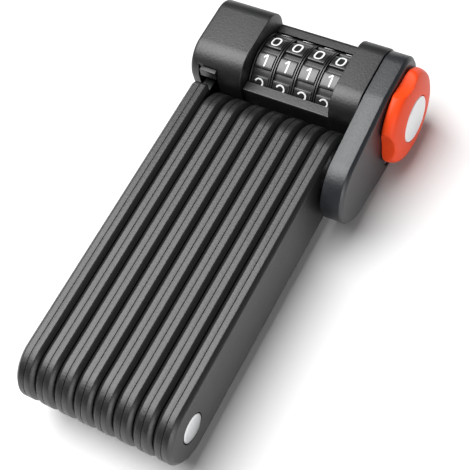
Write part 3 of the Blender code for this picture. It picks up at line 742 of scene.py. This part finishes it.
def ribbon(line, width):
    """Left and right edges of a stroke: its points moved half the width along their normals.

    At a bend the move is lengthened by the cosine of half the turn, so that the width holds.
    """
    closed = np.linalg.norm(line[0] - line[-1]) < 1e-6
    steps = np.diff(line, axis=0)
    steps /= np.linalg.norm(steps, axis=1)[:, None]
    before = np.concatenate([steps[-1:] if closed else steps[:1], steps])
    after = np.concatenate([steps, steps[:1] if closed else steps[-1:]])
    middle = before + after
    middle /= np.linalg.norm(middle, axis=1)[:, None]
    stretch = 1 / np.maximum(np.sum(middle * after, axis=1), 0.5)
    normal = np.column_stack([-middle[:, 1], middle[:, 0]]) * (width / 2 * stretch)[:, None]
    return line + normal, line - normal, closed


def digits_mesh(number, flat, height, stroke, paint=0.07):
    """The ten painted digits of a wheel, each a thin raised stroke on its pad's flat."""
    skin = Skin()
    middle = wheel_x(number)
    for digit in range(PADS):
        a = math.radians(PAD_ONE + (digit - 1) * 360 / PADS)
        for line in digit_strokes(digit):
            left, right, closed = ribbon(line * height, stroke)
            section = np.stack([left, right, right, left], 1)
            lift = np.array([paint, paint, -paint, -paint])[None] + flat
            across = section[..., 0]
            along = section[..., 1]
            y = AXIS_Y + lift * math.cos(a) + along * math.sin(a)
            z = lift * math.sin(a) - along * math.cos(a)
            points = np.stack([middle + across, y + 0 * along, z + 0 * along], -1)
            if closed:
                skin.grid(points[:-1], round_rows=True, round_columns=True)
            else:
                skin.loft(points)
    return skin.mesh(merged=False)


# ---------------------------------------------------------------- knob


def knob_mesh(radius, lobes, floor, hollow):
    """The lobed knob as a surface over angle and profile.

    Its radius is the softened lesser of the profile's and of the distance to the nearest hollow,
    a circle of the hollow's radius whose near side is the floor's distance from the axis:
    d cos(u) - sqrt(hollow^2 - d^2 sin(u)^2), with d = floor + hollow.
    """
    stations = np.array(
        [
            (0.0, SHAFT_RADIUS),
            (0.0, radius - 1.5),
            (0.12, radius - 0.9),
            (0.45, radius - 0.3),
            (0.95, radius),
            (1.8, radius - 0.02),
            (2.7, radius - 0.2),
            (3.5, radius - 0.5),
            (4.15, radius - 0.85),
            (4.6, radius - 1.25),
            (4.95, radius - 1.8),
            (5.25, radius - 2.55),
            (5.6, radius - 3.7),
            (5.92, radius - 5.1),
            (6.16, radius - 6.6),
            (6.32, radius - 8.0),
            (6.38, DISC_SEAT + 0.3),
            (6.33, DISC_SEAT + 0.1),
            (6.15, DISC_SEAT),
            (5.2, DISC_SEAT),
            (5.2, SHAFT_RADIUS),
        ]
    )
    angle = math.tau * np.arange(240) / 240
    share = math.tau / lobes
    off = (angle - KNOB_LOBE_ANGLE) % share - share / 2
    reach = floor + hollow
    inside = hollow**2 - (reach * np.sin(off)) ** 2
    limit = np.where(inside > 0, reach * np.cos(off) - np.sqrt(np.maximum(inside, 0)), 2 * radius)
    profile = stations[:, 1:2]
    above = np.minimum((limit[None] - profile) / KNOB_SOFTNESS, 40.0)
    r = profile - KNOB_SOFTNESS * np.log1p(np.exp(-above))
    x = KNOB_REAR + stations[:, :1] + 0 * r
    skin = Skin()
    grid = np.stack([x, AXIS_Y + r * np.cos(angle), r * np.sin(angle)], -1)
    skin.grid(grid, round_rows=True, round_columns=True)
    return skin.mesh()


def disc_mesh():
    """The plain disc in the knob's face: a low dome with a rounded edge."""
    t = np.linspace(0, 1, 14)
    dome = [(KNOB_FRONT - 0.3 * s * s, 8.55 * s) for s in t[::-1]]
    edge = [
        (KNOB_REAR + 5.4, 0.0),
        (KNOB_REAR + 5.4, 9.0),
        (KNOB_FRONT - 0.6, 9.0),
        (KNOB_FRONT - 0.4, 8.85),
    ]
    return turned(edge + dome, AXIS_Y, steps=96)


# ---------------------------------------------------------------- finishes


class Value:
    """A socket of a finish; arithmetic on it adds Math nodes."""

    def __init__(self, finish, socket):
        self.finish = finish
        self.socket = socket

    def math(self, operation, first, second):
        """One Math node on two values."""
        return self.finish.node("ShaderNodeMath", {"operation": operation}, {0: first, 1: second})

    def __add__(self, other):
        return self.math("ADD", self, other)

    def __radd__(self, other):
        return self.math("ADD", other, self)

    def __sub__(self, other):
        return self.math("SUBTRACT", self, other)

    def __rsub__(self, other):
        return self.math("SUBTRACT", other, self)

    def __mul__(self, other):
        return self.math("MULTIPLY", self, other)

    def __rmul__(self, other):
        return self.math("MULTIPLY", other, self)


class Finish:
    """A material built in code round one Principled shader."""

    def __init__(self, name):
        self.material = bpy.data.materials.new(name)
        self.material.use_nodes = True
        self.tree = self.material.node_tree
        self.shader = self.tree.nodes["Principled BSDF"]

    def node(self, kind, settings=None, sockets=None, output=0):
        """Adds a node: its settings first, then values or links into its sockets."""
        made = self.tree.nodes.new(kind)
        for key, value in (settings or {}).items():
            if key == "stops":
                ramp = made.color_ramp
                while len(ramp.elements) < len(value):
                    ramp.elements.new(0.5)
                for stop, (place, colour) in zip(ramp.elements, value):
                    stop.position = place
                    stop.color = (*colour, 1.0)
            else:
                setattr(made, key, value)
        for key, value in (sockets or {}).items():
            if isinstance(value, Value):
                self.tree.links.new(value.socket, made.inputs[key])
            else:
                made.inputs[key].default_value = value
        return Value(self, made.outputs[output])

    def put(self, **sockets):
        """Sets the shader's own sockets; an underscore in a name stands for a space."""
        for key, value in sockets.items():
            target = self.shader.inputs[key.replace("_", " ")]
            if isinstance(value, Value):
                self.tree.links.new(value.socket, target)
            else:
                target.default_value = value
        return self

    def place(self):
        return self.node("ShaderNodeTexCoord", output="Object")

    def noise(self, where, scale, detail=3.0, rough=0.55):
        sockets = {"Vector": where, "Scale": scale, "Detail": detail, "Roughness": rough}
        return self.node("ShaderNodeTexNoise", None, sockets)

    def pebbles(self, where, scale):
        settings = {"feature": "F1"}
        return self.node("ShaderNodeTexVoronoi", settings, {"Vector": where, "Scale": scale})

    def stretched(self, where, scale):
        return self.node("ShaderNodeMapping", None, {"Vector": where, "Scale": scale})

    def wear(self):
        return self.node("ShaderNodeAttribute", {"attribute_name": "wear"}, output="Fac")

    def mix(self, share, first, second):
        """Two colours mixed by a share."""
        sockets = {"Factor": share, 6: colour4(first), 7: colour4(second)}
        return self.node("ShaderNodeMix", {"data_type": "RGBA"}, sockets, 2)

    def bump(self, height, strength, distance):
        sockets = {"Height": height, "Strength": strength, "Distance": distance}
        return self.node("ShaderNodeBump", None, sockets)


def colour4(colour):
    if isinstance(colour, Value):
        return colour
    return (*colour[:3], 1.0)


def scaled(colour, factor):
    return tuple(min(1.0, channel * factor) for channel in colour[:3])


def moulded(name, colour, rough=0.4, shine=0.95, speckle=0.5, worn=0.2):
    """Spark-textured moulded plastic: fine pebbling, uneven tone, edges rubbed a little paler."""
    f = Finish(name)
    where = f.place()
    fine = f.noise(where, 1500.0, 3.0, 0.6)
    pebble = f.pebbles(where, 1100.0)
    broad = f.noise(where, 38.0, 4.0)
    scuff = f.noise(f.stretched(where, (400.0, 60.0, 400.0)), 2.2, 3.0)
    wear = f.wear() * fine * worn
    tone = f.mix(fine, scaled(colour, 1 - speckle), scaled(colour, 1 + speckle))
    tone = f.mix(broad * 0.4, tone, scaled(colour, 1.5))
    tone = f.mix(wear, tone, scaled(colour, 3.0))
    roughness = rough - 0.08 + broad * 0.06 + fine * 0.14 - wear * 0.1 + scuff * 0.05
    height = fine * 0.7 + pebble * 0.5
    f.put(Base_Color=tone, Roughness=roughness, Normal=f.bump(height, 0.6, 0.09 * MM))
    f.put(Specular_IOR_Level=shine)
    return f.material


def satin_plastic(name, colour, rough=0.3, depth=0.01, coat=0.0, worn=0.4, shine=0.5):
    """Smooth moulded plastic with a faint orange peel and fine handling marks."""
    f = Finish(name)
    where = f.place()
    peel = f.noise(where, 1400.0, 2.0)
    broad = f.noise(where, 60.0, 3.0)
    marks = f.noise(f.stretched(where, (900.0, 120.0, 300.0)), 1.6, 4.0, 0.7)
    wear = f.wear() * worn
    tone = f.mix(broad, scaled(colour, 0.93), scaled(colour, 1.05))
    tone = f.mix(wear * marks, tone, scaled(colour, 1.6))
    roughness = rough - 0.04 + marks * 0.1 + broad * 0.05
    height = peel * 0.7 + marks * 0.3
    f.put(Base_Color=tone, Roughness=roughness, Normal=f.bump(height, 0.4, depth * MM))
    f.put(Coat_Weight=coat, Coat_Roughness=0.12, Specular_IOR_Level=shine)
    return f.material


def brushed_metal(name, colour, rough, stretch, depth=0.008):
    """Metal brushed along one way: long thin marks in tone, roughness and relief."""
    f = Finish(name)
    where = f.place()
    marks = f.noise(f.stretched(where, stretch), 1.0, 5.0, 0.65)
    broad = f.noise(where, 90.0, 3.0)
    tone = f.mix(marks, scaled(colour, 0.8), scaled(colour, 1.15))
    tone = f.mix(broad * 0.5, tone, scaled(colour, 0.85))
    roughness = rough - 0.08 + marks * 0.16 + broad * 0.05
    f.put(Base_Color=tone, Metallic=1.0, Roughness=roughness)
    f.put(Normal=f.bump(marks, 0.35, depth * MM))
    return f.material


def paint(name, colour):
    """Filled-in paint, slightly uneven, with fine specks in its tone."""
    f = Finish(name)
    where = f.place()
    grain = f.noise(where, 1800.0, 3.0)
    broad = f.noise(where, 300.0, 2.0)
    tone = f.mix(grain, scaled(colour, 0.94), scaled(colour, 1.04))
    f.put(Base_Color=tone, Roughness=0.4 + broad * 0.15, Normal=f.bump(grain, 0.2, 0.01 * MM))
    return f.material


# ---------------------------------------------------------------- settings


def length(name, description, default):
    """A length in metres given in millimetres."""
    return FloatProperty(
        name=name, description=description, default=default * MM, unit="LENGTH", precision=5
    )


def tint(name, description, default):
    return FloatVectorProperty(
        name=name, description=description, default=default, subtype="COLOR", min=0.0, max=1.0
    )


class LinkSettings(bpy.types.PropertyGroup):
    """Sizes and colours of the links and their rivets."""

    bevel: length("Rim chamfer", "Chamfer round a jacket's outer face", 1.45)
    fillet: length("Edge rounding", "Rounding of the chamfer's edges", 0.3)
    colour: tint("Jacket colour", "Moulded jacket", (0.005, 0.0052, 0.0055))
    steel: tint("Steel colour", "Blackened hardened cores and tongue", (0.05, 0.051, 0.053))
    rivet: tint("Rivet colour", "Rivets and pins", (0.72, 0.73, 0.74))


class BodySettings(bpy.types.PropertyGroup):
    """Sizes and colours of the lock body."""

    end_fillet: length("End rounding", "Rounding of the body's left end", 1.6)
    cap_bevel: length("Cap chamfer", "Chamfer round the end cap's face", 1.2)
    cap_fillet: length("Cap edge rounding", "Rounding of the cap's chamfer", 0.3)
    colour: tint("Body colour", "Moulded body", (0.006, 0.0062, 0.0067))
    cap_colour: tint("Cap colour", "Moulded end cap, a little bluer", (0.011, 0.0125, 0.0155))
    brass: tint("Brass colour", "Code sleeves", (0.6, 0.44, 0.19))


class WheelSettings(bpy.types.PropertyGroup):
    """Sizes and colours of the code wheels."""

    flat: length("Pad distance", "Distance of a pad's flat from the axis", 15.2)
    drum: length("Drum radius", "Radius between the pads", 13.9)
    rim: length("Rim radius", "Radius of the wheel's side rims", 15.3)
    digit: length("Digit height", "Height of the painted digits", 5.2)
    stroke: length("Digit stroke", "Width of the digits' strokes", 0.62)
    colour: tint("Wheel colour", "Satin plastic of the wheels", (0.012, 0.0124, 0.0132))
    paint: tint("Digit colour", "Paint of the digits", (0.86, 0.87, 0.87))


class KnobSettings(bpy.types.PropertyGroup):
    """Sizes and colours of the knob."""

    radius: length("Knob radius", "Radius over the lobes", 18.45)
    floor: length("Hollow distance", "Distance of a hollow's floor from the axis", 15.9)
    hollow: length("Hollow radius", "Radius of the hollow between two lobes", 22.0)
    lobes: IntProperty(name="Lobes", description="Number of lobes", default=4, min=2, max=12)
    colour: tint("Knob colour", "Satin orange-red plastic", (0.86, 0.062, 0.008))
    disc: tint("Disc colour", "Plain pale disc", (0.86, 0.875, 0.89))


class StageSettings(bpy.types.PropertyGroup):
    """Floor, light and camera."""

    floor: tint("Floor colour", "Plain pale floor", (0.86, 0.86, 0.86))
    overhead: FloatProperty(name="Overhead light", description="Radiance", default=6.6)
    fill: FloatProperty(name="Fill light", description="Radiance", default=4.0)
    world: FloatProperty(name="Surround", description="Strength of the surround", default=0.06)
    lens: FloatProperty(name="Lens", description="Focal length", default=89.67, unit="CAMERA")


SETTINGS = {
    "lock_links": LinkSettings,
    "lock_body": BodySettings,
    "lock_wheels": WheelSettings,
    "lock_knob": KnobSettings,
    "lock_stage": StageSettings,
}


# ---------------------------------------------------------------- operators


def repaint(finish, *nodes):
    """Gives CAD nodes a finish."""
    for node in nodes:
        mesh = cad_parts[node].data
        mesh.materials.clear()
        mesh.materials.append(finish)


class LOCK_OT_links(bpy.types.Operator):
    """Builds the links' moulded jackets and finishes their cores"""

    bl_idname = "lock.links"
    bl_label = "Links"

    def execute(self, context):
        s = context.scene.lock_links
        plastic = moulded("jacket_plastic", s.colour, 0.4, 0.78, 0.35)
        steel = brushed_metal("core_steel", s.steel, 0.36, (90.0, 12.0, 2600.0))
        for link in range(1, LINKS + 1):
            body = f"link_{link}"
            for side, word in ((-1, "left"), (1, "right")):
                mesh = jacket_mesh(link, side, s.bevel / MM, s.fillet / MM)
                name = f"{body}_jacket_{word}"
                shown(name + "_moulded", mesh, plastic, body, [name])
            if link > 1:
                repaint(steel, f"link_{link}_core")
        shown("tongue_bar", tongue_mesh(), steel, "link_1", ["link_1_core"])
        return {"FINISHED"}


class LOCK_OT_rivets(bpy.types.Operator):
    """Builds the rivets between the links and the pin in the ear"""

    bl_idname = "lock.rivets"
    bl_label = "Rivets"

    def execute(self, context):
        s = context.scene.lock_links
        metal = brushed_metal("rivet_steel", s.rivet, 0.3, (400.0, 2400.0, 500.0))
        for link in range(1, LINKS):
            node = f"rivet_{link}"
            shown(node + "_turned", rivet_mesh(link), metal, f"link_{link + 1}", [node])
        shown("ear_pin_turned", ear_pin_mesh(), metal, "lock_body", ["ear_pin"])
        shown("ear_washer_turned", washer_mesh(), metal, "lock_body", ["ear_washer"])
        return {"FINISHED"}


class LOCK_OT_body(bpy.types.Operator):
    """Builds the lock body: left shell, cradle, collar, end cap and tongue guide"""

    bl_idname = "lock.body"
    bl_label = "Lock body"

    def execute(self, context):
        s = context.scene.lock_body
        plastic = moulded("body_plastic", s.colour, 0.4, 0.75)
        cap_plastic = moulded("cap_plastic", s.cap_colour, 0.38, 0.75, 0.7)
        pieces = {
            "left_shell": shell_mesh(s.end_fillet / MM),
            "cradle": cradle_mesh(),
            "right_collar": collar_mesh(),
            "end_cap": cap_mesh(s.cap_bevel / MM, s.cap_fillet / MM),
            "tongue_guide": guide_mesh(),
        }
        for node, mesh in pieces.items():
            finish = cap_plastic if node == "end_cap" else plastic
            shown(node + "_moulded", mesh, finish, "lock_body", [node])
        return {"FINISHED"}


class LOCK_OT_wheels(bpy.types.Operator):
    """Builds the code wheels and their painted digits"""

    bl_idname = "lock.wheels"
    bl_label = "Code wheels"

    def execute(self, context):
        s = context.scene.lock_wheels
        satin = satin_plastic("wheel_plastic", s.colour, 0.31, 0.012, 0.0, 0.2, 0.9)
        white = paint("digit_paint", s.paint)
        brass = brushed_metal("sleeve_brass", context.scene.lock_body.brass, 0.3, (3000, 200, 200))
        for number in range(1, WHEELS + 1):
            node = f"code_wheel_{number}"
            mesh = wheel_mesh(number, s.flat / MM, s.drum / MM, s.rim / MM)
            shown(node + "_moulded", mesh, satin, node, [node], 24.0)
            digits = digits_mesh(number, s.flat / MM, s.digit / MM, s.stroke / MM)
            shown(node + "_digits", digits, white, node)
            repaint(brass, f"code_sleeve_{number}")
        return {"FINISHED"}


class LOCK_OT_knob(bpy.types.Operator):
    """Builds the knob with its plain disc"""

    bl_idname = "lock.knob"
    bl_label = "Knob"

    def execute(self, context):
        s = context.scene.lock_knob
        orange = satin_plastic("knob_plastic", s.colour, 0.42, 0.012, 0.0, 0.2, 0.25)
        pale = satin_plastic("disc_plastic", s.disc, 0.3, 0.006, 0.2, 0.1)
        mesh = knob_mesh(s.radius / MM, s.lobes, s.floor / MM, s.hollow / MM)
        shown("knob_moulded", mesh, orange, "knob", ["knob"])
        shown("knob_disc_moulded", disc_mesh(), pale, "knob", ["knob_disc"])
        return {"FINISHED"}


class LOCK_OT_inside(bpy.types.Operator):
    """Finishes the pieces inside the lock body"""

    bl_idname = "lock.inside"
    bl_label = "Inside"

    def execute(self, context):
        colour = (0.5, 0.51, 0.52)
        ground = brushed_metal("ground_steel", colour, 0.3, (2600.0, 300.0, 300.0))
        spring = brushed_metal("spring_steel", scaled(colour, 1.2), 0.28, (200.0, 2600.0, 300.0))
        repaint(ground, "locking_bolt", "bolt_pin", "drive_sleeve", "knob_shaft")
        repaint(ground, "tie_screw_1", "tie_screw_2")
        repaint(spring, "detent_spring")
        return {"FINISHED"}


def softbox(name, direction, distance, side, radiance):
    """A square area light that faces the lock; its power gives the stated radiance."""
    light = bpy.data.lights.new(name, "AREA")
    light.shape = "SQUARE"
    light.size = side
    light.energy = radiance * math.pi * side * side
    made = bpy.data.objects.new(name, light)
    way = Vector(direction).normalized()
    made.location = Vector((0.0, 0.0, 0.02)) + way * distance
    made.rotation_euler = way.to_track_quat("Z", "Y").to_euler()
    bpy.context.scene.collection.objects.link(made)


class LOCK_OT_stage(bpy.types.Operator):
    """Sets the floor, the lights and the camera"""

    bl_idname = "lock.stage"
    bl_label = "Stage"

    def execute(self, context):
        s = context.scene.lock_stage
        scene = context.scene
        scene.view_settings.view_transform = "Standard"
        floor = bpy.data.meshes.new("floor")
        reach, level = 3.0, -0.0002
        corners = [(-reach, -reach), (reach, -reach), (reach, reach), (-reach, reach)]
        floor.from_pydata([(x, y, level) for x, y in corners], [], [(0, 1, 2, 3)])
        f = Finish("floor_card")
        broad = f.noise(f.place(), 6.0, 2.0)
        tone = f.mix(broad, scaled(s.floor, 0.99), scaled(s.floor, 1.01))
        f.put(Base_Color=tone, Roughness=0.9, Specular_IOR_Level=0.2)
        floor.materials.append(f.material)
        ground = bpy.data.objects.new("floor", floor)
        scene.collection.objects.link(ground)

        softbox("overhead", (-0.38, 0.02, 0.92), 1.1, 1.1, s.overhead)
        softbox("fill", (0.75, -0.6, 0.25), 0.9, 0.5, s.fill)
        world = bpy.data.worlds.new("surround")
        world.use_nodes = True
        shade = world.node_tree.nodes["Background"]
        shade.inputs["Color"].default_value = (1.0, 1.0, 1.0, 1.0)
        shade.inputs["Strength"].default_value = s.world
        scene.world = world

        camera = bpy.data.cameras.new("camera")
        camera.lens = s.lens
        camera.sensor_width = 36.0
        camera.clip_start = 0.01
        camera.dof.use_dof = False
        holder = bpy.data.objects.new("camera", camera)
        turn = Matrix((CAMERA_RIGHT, CAMERA_UP, CAMERA_BACK)).transposed()
        place = Matrix.Translation(in_row(CAMERA_PLACE))
        holder.matrix_world = place @ turn.to_4x4()
        scene.collection.objects.link(holder)
        scene.camera = holder
        return {"FINISHED"}


class LOCK_PT_panel(bpy.types.Panel):
    """Lists the lock's operators and settings."""

    bl_idname = "LOCK_PT_panel"
    bl_label = "Plate lock"
    bl_space_type = "VIEW_3D"
    bl_region_type = "UI"
    bl_category = "Plate lock"

    def draw(self, context):
        for operator in OPERATORS:
            self.layout.operator(operator.bl_idname)
        for name, group in SETTINGS.items():
            box = self.layout.box()
            for prop in group.__annotations__:
                box.prop(getattr(context.scene, name), prop)


OPERATORS = (
    LOCK_OT_stage,
    LOCK_OT_links,
    LOCK_OT_rivets,
    LOCK_OT_body,
    LOCK_OT_wheels,
    LOCK_OT_knob,
    LOCK_OT_inside,
)


def register():
    for item in (*SETTINGS.values(), *OPERATORS, LOCK_PT_panel):
        bpy.utils.register_class(item)
    for name, group in SETTINGS.items():
        setattr(bpy.types.Scene, name, PointerProperty(type=group))


def unregister():
    for name in SETTINGS:
        delattr(bpy.types.Scene, name)
    for item in (LOCK_PT_panel, *OPERATORS[::-1], *list(SETTINGS.values())[::-1]):
        bpy.utils.unregister_class(item)


def main():
    """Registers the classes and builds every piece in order."""
    register()
    for operator in OPERATORS:
        group, name = operator.bl_idname.split(".")
        getattr(getattr(bpy.ops, group), name)()


if __name__ == "__main__":
    main()
